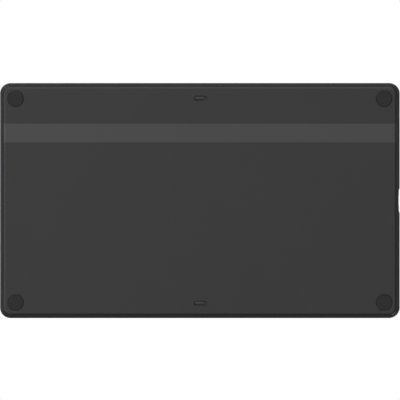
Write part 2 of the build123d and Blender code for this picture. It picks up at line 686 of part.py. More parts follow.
def sensor_ribbon():
    """The flat ribbon, down from the sensor board to the control board."""
    low = BOARD_TOP_Z + SOCKET_HEIGHT / 2
    high = SENSOR_LOW_Z - SOCKET_HEIGHT / 2
    start = BOARD_SOCKET_X - SOCKET_SLOT_DEPTH + SOCKET_SLOT_GAP
    end = SENSOR_SOCKET_X + SOCKET_SLOT_DEPTH - SOCKET_SLOT_GAP
    quarter = (SENSOR_SOCKET_X - BOARD_SOCKET_X) / 4
    path = FilletPolyline(
        (start, 0, low),
        (BOARD_SOCKET_X + quarter, 0, low),
        (SENSOR_SOCKET_X - quarter, 0, high),
        (end, 0, high),
        radius=RIBBON_BEND,
    )
    start_plane = Plane(origin=path @ 0, z_dir=path % 0, x_dir=(0, 1, 0))
    return sweep(start_plane * Rectangle(RIBBON_WIDTH, RIBBON_THICKNESS), path=path)


def control_board():
    """The control board: strip, tab at the socket, notches at the screw bosses."""
    z = (BOARD_LOW_Z, BOARD_TOP_Z)
    board = block((BOARD_LEFT_X, BOARD_RIGHT_X), (-BOARD_HALF_DEPTH, BOARD_HALF_DEPTH), z)
    board += block((BOARD_TAB_X, BOARD_LEFT_X + SMALL), (-BOARD_TAB_HALF_WIDTH, BOARD_TAB_HALF_WIDTH), z)
    neck = KEY_WIDTH / 2
    board += block((STRIP_X - neck, STRIP_X + neck), (0, LED_Y + LED_LENGTH), z)
    reach = SCREW_HEAD_DIAMETER / 2 + SCREW_GAP + PILLAR_WALL + BOARD_BOSS_CLEARANCE
    tall = (z[0] - 1, z[1] + 1)
    holes = [disc(x, y, reach, tall) for x, y in FOOT_PLACES.values()]
    holes += [disc(x, y, BOARD_SCREW_DIAMETER / 2 + BOARD_SCREW_GAP, tall) for x, y in board_screw_places()]
    holes += [
        block((x[0] - USB_LEG_GAP, x[1] + USB_LEG_GAP), (y[0] - USB_LEG_GAP, y[1] + USB_LEG_GAP), tall)
        for x, y in usb_legs()
    ]
    return board - holes


def board_screws():
    """Four low screws that hold the control board to the front shell."""
    screws = []
    for x, y in board_screw_places():
        low = BOARD_LOW_Z - BOARD_SCREW_HEAD
        head = disc(x, y, BOARD_SCREW_HEAD_DIAMETER / 2, (low, BOARD_LOW_Z))
        shank = disc(x, y, BOARD_SCREW_DIAMETER / 2, (BOARD_LOW_Z - SMALL, BOARD_LOW_Z + BOARD_SCREW_LENGTH))
        reach = BOARD_SCREW_HEAD_DIAMETER * CROSS_REACH
        screws.append(head + shank - cross_recess(x, y, low, BOARD_SCREW_HEAD / 2, reach))
    return Compound(children=screws)


def usb_legs():
    """X and Y spans of the socket's four legs."""
    legs = []
    for i in range(2):
        x = BOARD_TAB_X + USB_LEG_WEB + USB_LEG_GAP + i * USB_LEG_PITCH
        x_span = (x, x + USB_LEG_LENGTH)
        for side in (-1, 1):
            y = side * (USB_WIDTH / 2 - USB_WALL / 2)
            legs.append((x_span, (y - USB_WALL / 2, y + USB_WALL / 2)))
    return legs


def usb_prism(shrink, x):
    """The socket's oval section, drawn in by shrink, between two X values."""
    width = USB_WIDTH - 2 * shrink
    height = USB_HEIGHT - 2 * shrink
    oval = RectangleRounded(width, height, height / 2 - SMALL)
    return extrude(Plane.YZ.offset(x[0]) * Pos(0, USB_Z) * oval, x[1] - x[0])


def usb_shell():
    """The socket's drawn metal shell and its four legs through the board."""
    hollow = usb_prism(USB_WALL, (USB_MOUTH_X - 1, USB_BACK_X - USB_WALL))
    shell = usb_prism(0, (USB_MOUTH_X, USB_BACK_X)) - hollow
    return shell + [block(x, y, (BOARD_LOW_Z, USB_Z)) for x, y in usb_legs()]


def usb_tongue():
    """The socket's moulded block with its flat tongue."""
    back = USB_BACK_X - USB_WALL
    root = back - USB_BLOCK_LENGTH
    half = USB_TONGUE_THICKNESS / 2
    tongue = block(
        (root - USB_TONGUE_LENGTH, root + SMALL),
        (-USB_TONGUE_WIDTH / 2, USB_TONGUE_WIDTH / 2),
        (USB_Z - half, USB_Z + half),
    )
    return usb_prism(USB_WALL, (root, back)) + tongue


def usb_contacts():
    """Two rows of contacts on the tongue."""
    root = USB_BACK_X - USB_WALL - USB_BLOCK_LENGTH
    x_span = (root - USB_CONTACT_LENGTH, root)
    near = USB_TONGUE_THICKNESS / 2
    far = near + USB_CONTACT_THICKNESS
    pads = []
    for i in range(USB_CONTACTS):
        y = (i - (USB_CONTACTS - 1) / 2) * USB_CONTACT_PITCH
        y_span = (y - USB_CONTACT_WIDTH / 2, y + USB_CONTACT_WIDTH / 2)
        pads.append(block(x_span, y_span, (USB_Z + near, USB_Z + far)))
        pads.append(block(x_span, y_span, (USB_Z - far, USB_Z - near)))
    return Compound(children=pads)


def key(number, x, y):
    """A key cap: dished top, hollow body, retaining flange and the nub on its switch."""
    ceiling = KEY_TOP_Z - KEY_TOP_PLATE
    cap = key_plate(x, y, 0, KEY_CORNER, (KEY_FLANGE_TOP_Z, KEY_TOP_Z))
    cap = fillet(cap.edges().group_by(Axis.Z)[-1], KEY_EDGE_ROUND)
    dish = Pos(x, y, KEY_TOP_Z + KEY_DISH_RADIUS - KEY_DISH_DEPTH) * Rot(0, 90, 0)
    cap -= dish * Cylinder(KEY_DISH_RADIUS, KEY_WIDTH + 2)
    cap += key_plate(x, y, KEY_FLANGE, KEY_CORNER + KEY_FLANGE, (KEY_FLANGE_LOW_Z, KEY_FLANGE_TOP_Z))
    cap -= key_plate(x, y, -KEY_WALL, KEY_CORNER - KEY_WALL, (KEY_FLANGE_LOW_Z - SMALL, ceiling))
    cap += disc(x, y, KEY_NUB_DIAMETER / 2, (NUB_LOW_Z, ceiling + SMALL))
    if number in KEY_MARKED:
        mark_z = KEY_TOP_Z - KEY_DISH_DEPTH
        cap += disc(x, y, KEY_MARK_DIAMETER / 2, (mark_z - KEY_DISH_DEPTH, KEY_TOP_Z))
    return cap


def plunger(x, y):
    """The moving part of a press switch."""
    flange_top = SWITCH_TOP_Z - SWITCH_ROOF - PLUNGER_ROOF_GAP
    flange_low = flange_top - PLUNGER_FLANGE_THICKNESS
    stem = disc(x, y, PLUNGER_DIAMETER / 2, (flange_low, PLUNGER_TOP_Z))
    stem = fillet(stem.edges().group_by(Axis.Z)[-1], PLUNGER_DIAMETER / 10)
    return stem + disc(x, y, PLUNGER_DIAMETER / 2 + PLUNGER_FLANGE, (flange_low, flange_top))


def switch(x, y):
    """The housing of a press switch, hollow for its plunger."""
    body = middle_block(x, y, SWITCH_SIDE, SWITCH_SIDE, (BOARD_TOP_Z, SWITCH_TOP_Z))
    body = chamfer(body.edges().filter_by(Axis.Z), SWITCH_WALL / 2)
    room = disc(x, y, SWITCH_SIDE / 2 - SWITCH_WALL, (BOARD_TOP_Z + SWITCH_BASE, SWITCH_TOP_Z - SWITCH_ROOF))
    bore = PLUNGER_DIAMETER / 2 + PLUNGER_GAP
    return body - room - disc(x, y, bore, (SWITCH_TOP_Z - SWITCH_ROOF - SMALL, SWITCH_TOP_Z + 1))


def turned(points):
    """A solid turned about the dial's axis, from points of radius and height."""
    face = Plane.XZ * make_face(Polyline(*points, close=True))
    return Pos(STRIP_X, 0, 0) * revolve(face, Axis.Z)


def dial_ring():
    """The dial: fluted rim, top with a groove for the trim, and the running sleeve."""
    skirt_inner = DIAL_RADIUS - DIAL_SKIRT_WALL
    core_outer = WELL_RADIUS + DIAL_CORE_WALL
    shoulder_low = DIAL_STEP_Z - DIAL_SHOULDER
    ceiling = DIAL_TOP_Z - DIAL_TOP_WALL
    trim = (WELL_RADIUS + TRIM_EDGE, DIAL_RADIUS - TRIM_EDGE)
    ring = turned(
        [
            (SLEEVE_BORE_RADIUS, SLEEVE_LOW_Z),
            (SLEEVE_RADIUS, SLEEVE_LOW_Z),
            (SLEEVE_RADIUS, shoulder_low),
            (core_outer, shoulder_low),
            (core_outer, ceiling),
            (skirt_inner, ceiling),
            (skirt_inner, DIAL_SKIRT_Z),
            (DIAL_RADIUS, DIAL_SKIRT_Z),
            (DIAL_RADIUS, DIAL_TOP_Z - DIAL_ROUND),
            (DIAL_RADIUS - DIAL_ROUND, DIAL_TOP_Z),
            (trim[1], DIAL_TOP_Z),
            (trim[1], DIAL_TOP_Z - TRIM_THICKNESS),
            (trim[0], DIAL_TOP_Z - TRIM_THICKNESS),
            (trim[0], DIAL_TOP_Z),
            (WELL_RADIUS, DIAL_TOP_Z),
            (WELL_RADIUS, DIAL_STEP_Z),
            (SLEEVE_BORE_RADIUS, DIAL_STEP_Z),
        ]
    )
    flutes = []
    away = DIAL_RADIUS + DIAL_FLUTE_RADIUS - DIAL_FLUTE_DEPTH
    for i in range(DIAL_FLUTES):
        turn = radians(360 * i / DIAL_FLUTES)
        x = STRIP_X + away * cos(turn)
        flutes.append(disc(x, away * sin(turn), DIAL_FLUTE_RADIUS, (TOP_Z + KEY_PROUD, DIAL_TOP_Z + 1)))
    return ring - flutes


def dial_trim():
    """The spun metal ring let into the top of the dial."""
    inner = WELL_RADIUS + TRIM_EDGE
    outer = DIAL_RADIUS - TRIM_EDGE
    ring = tube(STRIP_X, 0, outer, inner, (DIAL_TOP_Z - TRIM_THICKNESS, DIAL_TOP_Z))
    return chamfer(ring.edges().group_by(Axis.Z)[-1], TRIM_THICKNESS / 4)


def dial_post():
    """The fixed post that the dial turns on, with the ledge that keeps the button in."""
    lower_bore = POST_BORE_RADIUS + BUTTON_LEDGE
    groove = POST_RADIUS - CLIP_GROOVE_DEPTH
    flange = POST_RADIUS + POST_FLANGE_REACH
    return turned(
        [
            (lower_bore, BOARD_TOP_Z),
            (flange, BOARD_TOP_Z),
            (flange, BOARD_TOP_Z + POST_FLANGE),
            (POST_RADIUS, BOARD_TOP_Z + POST_FLANGE),
            (POST_RADIUS, CLIP_LOW_Z - CLIP_GAP / 2),
            (groove, CLIP_LOW_Z - CLIP_GAP / 2),
            (groove, CLIP_TOP_Z + CLIP_GAP / 2),
            (POST_RADIUS, CLIP_TOP_Z + CLIP_GAP / 2),
            (POST_RADIUS, POST_TOP_Z),
            (POST_BORE_RADIUS, POST_TOP_Z),
            (POST_BORE_RADIUS, POST_LEDGE_Z),
            (lower_bore, POST_LEDGE_Z),
        ]
    )


def dial_clip():
    """The open ring that keeps the dial on its post."""
    inner = POST_RADIUS - CLIP_GROOVE_DEPTH + CLIP_GAP
    outer = POST_RADIUS + CLIP_PROUD
    ring = tube(STRIP_X, 0, outer, inner, (CLIP_LOW_Z, CLIP_TOP_Z))
    half = outer * sin(radians(CLIP_MOUTH_DEGREES / 2))
    return ring - block((STRIP_X, STRIP_X + 2 * POST_RADIUS), (-half, half), (CLIP_LOW_Z - 1, CLIP_TOP_Z + 1))


def dial_button():
    """The press button in the middle of the dial."""
    stem = POST_BORE_RADIUS - BUTTON_STEM_GAP
    flange = POST_BORE_RADIUS + BUTTON_LEDGE - BUTTON_STEM_GAP * 2
    flange_low = BUTTON_FLANGE_TOP_Z - BUTTON_FLANGE
    cap = disc(STRIP_X, 0, BUTTON_RADIUS, (BUTTON_LOW_Z, BUTTON_TOP_Z))
    cap = fillet(cap.edges().group_by(Axis.Z)[-1], BUTTON_ROUND)
    dish_radius = BUTTON_RADIUS * BUTTON_RADIUS / (2 * KEY_DISH_DEPTH)
    cap -= Pos(STRIP_X, 0, BUTTON_TOP_Z + dish_radius - KEY_DISH_DEPTH) * Sphere(dish_radius)
    bore = stem - BUTTON_STEM_WALL
    wall = tube(STRIP_X, 0, stem, bore, (BUTTON_FLANGE_TOP_Z - SMALL, BUTTON_LOW_Z + SMALL))
    ledge = tube(STRIP_X, 0, flange, bore, (flange_low, BUTTON_FLANGE_TOP_Z))
    rod = disc(STRIP_X, 0, KEY_NUB_DIAMETER / 2, (NUB_LOW_Z, BUTTON_LOW_Z + SMALL))
    return cap + wall + ledge + rod


def code_wheel():
    """The slotted wheel on the dial's sleeve."""
    wheel = tube(STRIP_X, 0, WHEEL_RADIUS, SLEEVE_RADIUS, (WHEEL_LOW_Z, WHEEL_TOP_Z))
    half = WHEEL_SLOT_WIDTH / 2
    far = WHEEL_RADIUS - WHEEL_SLOT_EDGE
    slot = block((far - WHEEL_SLOT_LENGTH, far), (-half, half), (WHEEL_LOW_Z - 1, WHEEL_TOP_Z + 1))
    return wheel - [Pos(STRIP_X, 0, 0) * Rot(0, 0, 360 * i / WHEEL_SLOTS) * slot for i in range(WHEEL_SLOTS)]


def encoder_sensor():
    """The fork that reads the wheel's slots, on the far side of the dial."""
    near = WHEEL_RADIUS - ENCODER_REACH
    root = WHEEL_RADIUS + ENCODER_GAP
    far = root + ENCODER_BACK
    top = WHEEL_TOP_Z + ENCODER_GAP
    half = ENCODER_WIDTH / 2
    fork = block((STRIP_X - half, STRIP_X + half), (near, far), (BOARD_TOP_Z, top + ENCODER_ARM))
    return fork - block((LEFT_X, 0), (near - 1, root), (WHEEL_LOW_Z - ENCODER_GAP, top))


def detent_spring():
    """The leaf spring that gives the dial its clicks, standing on two feet."""
    tip = SLEEVE_RADIUS + SPRING_GAP
    leaf_y = WHEEL_RADIUS - 1
    low = WHEEL_TOP_Z + SPRING_RISE
    half = SPRING_HALF_LENGTH
    line = Polyline(
        (-half, -leaf_y),
        (-SPRING_BUMP_HALF, -leaf_y),
        (0, -tip - SPRING_THICKNESS),
        (SPRING_BUMP_HALF, -leaf_y),
        (half, -leaf_y),
    )
    spring = Pos(STRIP_X, 0, low) * extrude(trace(line, SPRING_THICKNESS), SPRING_HEIGHT)
    for side in (-1, 1):
        x = STRIP_X + side * (half + SPRING_FOOT / 2)
        z = (BOARD_TOP_Z, low + SPRING_HEIGHT)
        spring += middle_block(x, -leaf_y, SPRING_FOOT + SMALL, SPRING_FOOT, z)
    return spring


def chip_body(x, y, width, length, height):
    """The moulded body of a chip, raised a little off the board, with a bevelled top."""
    body = middle_block(x, y, width, length, (BOARD_TOP_Z + PIN_RISE, BOARD_TOP_Z + height))
    return chamfer(body.edges().group_by(Axis.Z)[-1], CHIP_BEVEL)


def pin_steps(pins, pitch):
    """How far each pin of a row is from the row's middle."""
    return [(i - (pins - 1) / 2) * pitch for i in range(pins)]


def controller_chip():
    """The main controller, with pins on all four sides, beside the near keys."""
    x = STRIP_X + KEY_WIDTH / 2 + CONTROLLER_SIDE / 2
    y = -KEY_FIRST_Y - 2 * KEY_PITCH
    chip = chip_body(x, y, CONTROLLER_SIDE, CONTROLLER_SIDE, CONTROLLER_HEIGHT)
    span = CONTROLLER_SIDE + 2 * PIN_REACH
    z = (BOARD_TOP_Z, BOARD_TOP_Z + CONTROLLER_HEIGHT / 2)
    for step in pin_steps(CONTROLLER_PINS, CONTROLLER_PITCH):
        chip += middle_block(x, y + step, span, PIN_WIDTH, z)
        chip += middle_block(x + step, y, PIN_WIDTH, span, z)
    return chip


def amplifier_chips():
    """Four small chips with pins on two sides, in pairs beside the far keys."""
    out = KEY_WIDTH / 2 + CHIP_WIDTH / 2
    mid_y = KEY_FIRST_Y + 1.5 * KEY_PITCH
    z = (BOARD_TOP_Z, BOARD_TOP_Z + CHIP_HEIGHT / 2)
    chips = []
    for i in (-1, 1):
        for j in (-1, 1):
            x = STRIP_X + i * out
            y = mid_y + j * CHIP_LENGTH
            chip = chip_body(x, y, CHIP_WIDTH, CHIP_LENGTH, CHIP_HEIGHT)
            for step in pin_steps(CHIP_PINS, CHIP_PITCH):
                chip += middle_block(x, y + step, CHIP_WIDTH + 2 * PIN_REACH, PIN_WIDTH, z)
            chips.append(chip)
    return Compound(children=chips)


def clock_crystal():
    """The clock crystal, beside the first key on the near side."""
    x = STRIP_X - KEY_WIDTH / 2 - CRYSTAL_WIDTH
    z = (BOARD_TOP_Z, BOARD_TOP_Z + CRYSTAL_HEIGHT)
    can = middle_block(x, -KEY_FIRST_Y, CRYSTAL_WIDTH, CRYSTAL_LENGTH, z)
    return chamfer(can.edges().group_by(Axis.Z)[-1], CRYSTAL_HEIGHT / 5)


def small_parts():
    """Two rows of small resistors and capacitors at the near end of the board."""
    x = STRIP_X - KEY_WIDTH / 2 - SMALL_PART_WIDTH
    z = (BOARD_TOP_Z, BOARD_TOP_Z + SMALL_PART_HEIGHT)
    parts = []
    for row in range(2):
        for i in range(SMALL_PARTS_PER_ROW):
            y = SMALL_PART_EDGE - BOARD_HALF_DEPTH + i * SMALL_PART_PITCH
            parts.append(middle_block(x - row * SMALL_PART_PITCH, y, SMALL_PART_LENGTH, SMALL_PART_WIDTH, z))
    return Compound(children=parts)


def status_led():
    """The small lamp under the light pipe."""
    return middle_block(STRIP_X, LED_Y, LED_LENGTH, LED_WIDTH, (BOARD_TOP_Z, LED_TOP_Z))


def light_pipe():
    """The clear rod from the lamp up to the face of the tablet."""
    rod = disc(STRIP_X, LED_Y, PIPE_DIAMETER / 2, (LED_TOP_Z + PIPE_GAP, TOP_Z))
    flange_z = (PLATE_UNDER_Z - PIPE_FLANGE_THICKNESS, PLATE_UNDER_Z)
    return rod + disc(STRIP_X, LED_Y, PIPE_DIAMETER / 2 + PIPE_FLANGE, flange_z)


def all_nodes():
    """Every sub-part by its node's name."""
    nodes = {
        "front_shell": front_shell(),
        "drawing_sheet": drawing_sheet(),
        "back_cover": back_cover(),
        "back_band": back_band(),
        "case_screws": case_screws(),
        "screw_inserts": screw_inserts(),
        "sensor_glue": sensor_glue(),
        "sensor_board": sensor_board(),
        "shield_plate": shield_plate(),
        "ribbon_sockets": ribbon_sockets(),
        "sensor_ribbon": sensor_ribbon(),
        "control_board": control_board(),
        "board_screws": board_screws(),
        "usb_shell": usb_shell(),
        "usb_tongue": usb_tongue(),
        "usb_contacts": usb_contacts(),
        "controller_chip": controller_chip(),
        "amplifier_chips": amplifier_chips(),
        "clock_crystal": clock_crystal(),
        "small_parts": small_parts(),
        "status_led": status_led(),
        "light_pipe": light_pipe(),
        "dial_ring": dial_ring(),
        "dial_trim": dial_trim(),
        "dial_post": dial_post(),
        "dial_clip": dial_clip(),
        "dial_button": dial_button(),
        "dial_button_plunger": plunger(STRIP_X, 0),
        "dial_button_switch": switch(STRIP_X, 0),
        "code_wheel": code_wheel(),
        "encoder_sensor": encoder_sensor(),
        "detent_spring": detent_spring(),
    }
    for name, (x, y) in FOOT_PLACES.items():
        nodes[f"foot_{name}"] = foot(x, y)
    for number, x, y in key_places():
        nodes[f"key_{number}"] = key(number, x, y)
        nodes[f"key_plunger_{number}"] = plunger(x, y)
        nodes[f"key_switch_{number}"] = switch(x, y)
    return nodes


os.makedirs("parts", exist_ok=True)
for node, shape in all_nodes().items():
    export_step(shape, f"parts/{node}.step")
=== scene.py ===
"""Finishes, printed marks and studio for a slim pen tablet that lies on four round feet.

Metres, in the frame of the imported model: +X is the user's right, +Y is away from the user and
+Z is up. The photograph looks straight up at the underside, so the camera is below the tablet.
The file is laid out as an add-on: scene properties hold the sizes and colours, each group of
pieces has an operator, and a panel in the sidebar lists them all.
"""

import json
import math

import bpy
import numpy as np
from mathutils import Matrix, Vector


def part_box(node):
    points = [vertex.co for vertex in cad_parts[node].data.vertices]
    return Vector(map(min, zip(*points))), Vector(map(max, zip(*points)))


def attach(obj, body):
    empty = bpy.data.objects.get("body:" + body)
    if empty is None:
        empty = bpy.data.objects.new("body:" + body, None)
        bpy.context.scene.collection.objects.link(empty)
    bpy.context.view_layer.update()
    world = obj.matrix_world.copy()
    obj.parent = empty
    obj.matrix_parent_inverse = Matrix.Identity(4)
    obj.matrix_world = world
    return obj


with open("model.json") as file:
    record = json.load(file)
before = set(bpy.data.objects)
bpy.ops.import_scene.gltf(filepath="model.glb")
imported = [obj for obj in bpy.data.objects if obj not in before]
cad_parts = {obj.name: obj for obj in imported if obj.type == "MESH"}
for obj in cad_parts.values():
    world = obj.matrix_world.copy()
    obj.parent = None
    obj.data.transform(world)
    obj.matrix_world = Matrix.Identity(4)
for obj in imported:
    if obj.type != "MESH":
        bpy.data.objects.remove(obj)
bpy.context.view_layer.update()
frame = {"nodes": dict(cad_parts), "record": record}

bl_info = {
    "name": "Pen tablet finishes",
    "version": (1, 0, 0),
    "blender": (4, 5, 0),
    "location": "View3D > Sidebar > Tablet",
    "description": "Finishes, printed marks and a plain studio for the pen tablet",
    "category": "Material",
}

MM = 0.001


def centre_of(node):
    """The middle of a node's box."""
    low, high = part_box(node)
    return (low + high) / 2


def half_of(node):
    """Half the size of a node's box."""
    low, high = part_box(node)
    return (high - low) / 2


DIAL_CENTRE = centre_of("dial_ring")
STRIP_X = DIAL_CENTRE.x
SHEET_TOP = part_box("drawing_sheet")[1].z
COVER_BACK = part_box("back_cover")[0].z
KEY_PITCH = centre_of("key_1").y - centre_of("key_2").y

# Corner radii in plan, which the boxes don't give
CASE_CORNER = 8.4 * MM
SHEET_CORNER = 5.1 * MM


# Sizes and colours that a user would change


def colour_property(name, description, default):
    """A linear colour with no alpha."""
    return bpy.props.FloatVectorProperty(
        name=name, description=description, default=default, subtype="COLOR", size=3, min=0, max=1
    )


def length_property(name, description, default):
    """A length in metres."""
    return bpy.props.FloatProperty(
        name=name, description=description, default=default, unit="LENGTH", min=0, precision=5
    )


def factor_property(name, description, default):
    """A plain share or level."""
    return bpy.props.FloatProperty(
        name=name, description=description, default=default, subtype="FACTOR", min=0
    )


class TabletColours(bpy.types.PropertyGroup):
    """Colours of the pieces that show."""

    shell: colour_property("Front shell", "Grained plastic of the front shell", (0.030, 0.030, 0.031))
    cover: colour_property("Back cover", "Grained plastic of the back cover", (0.0265, 0.0265, 0.0265))
    band: colour_property("Smooth band", "Smooth plastic of the band across the back", (0.041, 0.041, 0.041))
    sheet: colour_property("Drawing sheet", "Toothed film of the drawing sheet", (0.015, 0.015, 0.017))
    keys: colour_property("Keys", "Satin plastic of the keys and the dial's button", (0.037, 0.037, 0.039))
    dial: colour_property("Dial", "Satin plastic of the dial", (0.018, 0.018, 0.019))
    trim: colour_property("Dial trim", "Spun and anodised metal of the dial's trim", (0.09, 0.09, 0.095))
    rubber: colour_property("Feet", "Moulded rubber of the feet", (0.019, 0.019, 0.019))
    ink: colour_property("Printed marks", "Ink of the marks on the sheet and the dial", (0.35, 0.35, 0.36))


class TabletMarks(bpy.types.PropertyGroup):
    """Sizes of the printed marks on the drawing sheet and the dial."""

    active_length: length_property("Active length", "Length of the drawing area", 0.254)
    active_depth: length_property("Active depth", "Depth of the drawing area", 0.159)
    arm: length_property("Corner arm", "Length of each arm of a corner mark", 0.0052)
    bend: length_property("Corner bend", "Radius of the bend of a corner mark", 0.0016)
    line: length_property("Line width", "Width of a printed line", 0.00045)
    ink: length_property("Ink thickness", "How far the ink stands up", 0.00003)


class TabletStudio(bpy.types.PropertyGroup):
    """Camera and light."""

    picture_width: length_property("Picture width", "Width that the picture spans at the rim", 0.3203)
    picture_x: length_property("Picture centre X", "How far the picture's centre is to the left", 0.00012)
    picture_y: length_property("Picture centre Y", "How far the picture's centre is from the middle", 0.00044)
    rim_height: length_property("Rim height", "Height at which the outline is widest", 0.0068)
    lens: bpy.props.FloatProperty(
        name="Lens", description="Focal length of the camera", default=400.0, min=50, unit="CAMERA"
    )
    ambient_below: factor_property("Ambient from below", "Even light on the underside", 0.15)
    ambient_above: factor_property("Ambient from above", "Even light on the drawing side", 0.38)
    back_far: factor_property("Back, far side", "Level of the lamp on the underside past the far edge", 0.43)
    back_right: factor_property("Back, right side", "Level of the lamp on the underside to the right", 0.36)
    back_left: factor_property("Back, left side", "Level of the lamp on the underside to the left", 0.05)
    sheet_key: factor_property("Sheet key", "Level of the main lamp on the drawing side", 0.45)
    sheet_edge: factor_property("Sheet edge", "Level of the second lamp on the drawing side", 0.25)
    floor: colour_property("Floor", "Colour of the floor", (0.86, 0.86, 0.86))
    floor_fade: length_property("Floor fade", "Distance at which the floor has faded to white", 1.6)


# Shader nodes written as sums


class Wire:
    """One output of a shader node. Each operator on it adds a Math node."""

    def __init__(self, nodes, socket):
        self.nodes = nodes
        self.socket = socket

    def __add__(self, other):
        return self.nodes.math("ADD", self, other)

    def __radd__(self, other):
        return self.nodes.math("ADD", other, self)

    def __sub__(self, other):
        return self.nodes.math("SUBTRACT", self, other)

    def __rsub__(self, other):
        return self.nodes.math("SUBTRACT", other, self)

    def __mul__(self, other):
        return self.nodes.math("MULTIPLY", self, other)

    def __rmul__(self, other):
        return self.nodes.math("MULTIPLY", other, self)


class Nodes:
    """The nodes of one material or world."""

    def __init__(self, owner):
        owner.use_nodes = True
        self.owner = owner
        self.tree = owner.node_tree
        self.tree.nodes.clear()

    def node(self, kind, settings=None, values=None, output=0):
        """Adds a node, its settings first and then its sockets' values or wires, and gives one output."""
        made = self.tree.nodes.new("ShaderNode" + kind)
        for key, value in (settings or {}).items():
            setattr(made, key, value)
        for key, value in (values or {}).items():
            if isinstance(value, Wire):
                self.tree.links.new(value.socket, made.inputs[key])
            else:
                made.inputs[key].default_value = value
        return Wire(self, made.outputs[output]) if made.outputs else None

    def math(self, operation, first, second=0.0):
        """The result of a Math node on one or two values."""
        return self.node("Math", {"operation": operation}, {0: first, 1: second})

    def vector(self, operation, first, second=(0.0, 0.0, 0.0), output=0):
        """The result of a Vector Math node. A length is its second output."""
        return self.node("VectorMath", {"operation": operation}, {0: first, 1: second}, output)

    def place(self):
        """Object coordinates, in metres."""
        return self.node("TexCoord", output="Object")

    def part(self, vector, axis):
        """One coordinate of a place."""
        return self.node("SeparateXYZ", values={0: vector}, output=axis)

    def stretched(self, vector, factors):
        """A place with each coordinate multiplied by its own factor."""
        return self.vector("MULTIPLY", vector, factors)

    def noise(self, vector, size, detail=2.0, roughness=0.5):
        """Soft noise from 0 to 1 whose features are about a size across."""
        values = {"Vector": vector, "Scale": 1 / size, "Detail": detail, "Roughness": roughness}
        return self.node("TexNoise", values=values)

    def noise_along(self, distance, size, detail=2.0):
        """Noise from 0 to 1 that changes along one distance only."""
        values = {"W": distance, "Scale": 1 / size, "Detail": detail}
        return self.node("TexNoise", {"noise_dimensions": "1D"}, values)

    def cells(self, vector, size):
        """Distance to the nearest of scattered points, from 0 to about 1."""
        return self.node("TexVoronoi", values={"Vector": vector, "Scale": 1 / size})

    def step(self, value, start, end):
        """Smooth step from 0 at start to 1 at end, which may be the lower of the two."""
        values = {"Value": value, 1: start, 2: end, 3: 0.0, 4: 1.0}
        return self.node("MapRange", {"interpolation_type": "SMOOTHSTEP"}, values)

    def tinted(self, colour, tone):
        """A colour multiplied by a tone."""
        values = {0: tuple(colour), "Scale": tone}
        return self.node("VectorMath", {"operation": "SCALE"}, values)

    def blended(self, factor, first, second):
        """A mix of two colours, which are the Mix node's sockets 6 and 7, with its result at output 2."""
        settings = {"data_type": "RGBA", "clamp_factor": True}
        colours = [c if isinstance(c, Wire) else (*c, 1.0) for c in (first, second)]
        return self.node("Mix", settings, {0: factor, 6: colours[0], 7: colours[1]}, output=2)

    def bump(self, height, distance, under=None):
        """Relief of a height in metres, over another relief if one is given."""
        values = {"Height": height, "Distance": distance}
        if under is not None:
            values["Normal"] = under
        return self.node("Bump", values=values, output="Normal")

    def surface(self, **values):
        """The Principled surface and the material's output. Socket names are written with underscores."""
        named = {key.replace("_", " "): value for key, value in values.items()}
        skin = self.node("BsdfPrincipled", values=named)
        self.node("OutputMaterial", values={"Surface": skin})
        return self.owner

    def distance_in_plan(self, place, centre, half, radius):
        """Distance outside a rounded rectangle seen from above, negative inside it.

        It is the length of what is left of the place past the straight sides, plus the
        nearer side's distance where the place is inside them, less the corner radius.
        """
        offset = self.vector("SUBTRACT", place, (centre[0], centre[1], 0.0))
        flat = self.stretched(self.vector("ABSOLUTE", offset), (1.0, 1.0, 0.0))
        past = self.vector("SUBTRACT", flat, (half[0] - radius, half[1] - radius, 0.0))
        outside = self.vector("LENGTH", self.vector("MAXIMUM", past), output=1)
        nearer = self.math("MAXIMUM", self.part(past, "X"), self.part(past, "Y"))
        return outside + self.math("MINIMUM", nearer, 0.0) - radius

    def distance_to_axis(self, place, centre):
        """Distance from an upright axis."""
        offset = self.vector("SUBTRACT", place, (centre[0], centre[1], 0.0))
        return self.vector("LENGTH", self.stretched(offset, (1.0, 1.0, 0.0)), output=1)

    def lines(self, along, pitch, width):
        """1 on lines a pitch apart, fading to 0 over a quarter of their width."""
        gap = self.math("PINGPONG", along, pitch / 2)
        return self.step(gap, width * 0.625, width * 0.375)


def new_material(name):
    """The node tree of a new material."""
    return Nodes(bpy.data.materials.new(name))


# Finishes of what shows


def spark_grain(nodes, place, size, depth):
    """The pits of a spark-eroded mould, and their relief over a slower ripple."""
    pits = nodes.cells(place, size)
    ripple = nodes.noise(place, size * 4, detail=3.0)
    fine = nodes.bump(pits, depth)
    return pits, nodes.bump(ripple, depth, fine)


def case_plastic(name, colour, smooth_colour=None, worn_edge=False):
    """Grained plastic of the two mouldings, with the rim rubbed a little smoother by hands.

    Where a second colour is given, the snap hooks are smooth and take it. With a worn edge, the
    cover's rounding is polished.
    """
    nodes = new_material(name)
    place = nodes.place()
    grain, relief = spark_grain(nodes, place, size=0.32 * MM, depth=0.014 * MM)
    drift = nodes.noise(place, 55 * MM, detail=3.0)
    patches = nodes.noise(place, 9 * MM, detail=4.0)
    half = half_of("front_shell")
    from_rim = nodes.distance_in_plan(place, (0, 0), half, CASE_CORNER)
    rim = nodes.step(from_rim, -1.6 * MM, -0.1 * MM)
    rubbed = rim * nodes.step(patches, 0.42, 0.62)
    tone = 0.94 + 0.08 * drift + 0.06 * grain + 0.10 * rubbed
    roughness = 0.50 + 0.07 * drift - 0.10 * rubbed
    base = nodes.tinted(colour, tone)
    if smooth_colour is not None:
        hook = hook_mask(nodes, place)
        base = nodes.blended(hook, base, smooth_colour)
        roughness = roughness - 0.16 * hook
    if worn_edge:
        roughness = roughness - 0.33 * cover_edge(nodes, place)
    return nodes.surface(Base_Color=base, Roughness=roughness, Normal=relief, IOR=1.42)


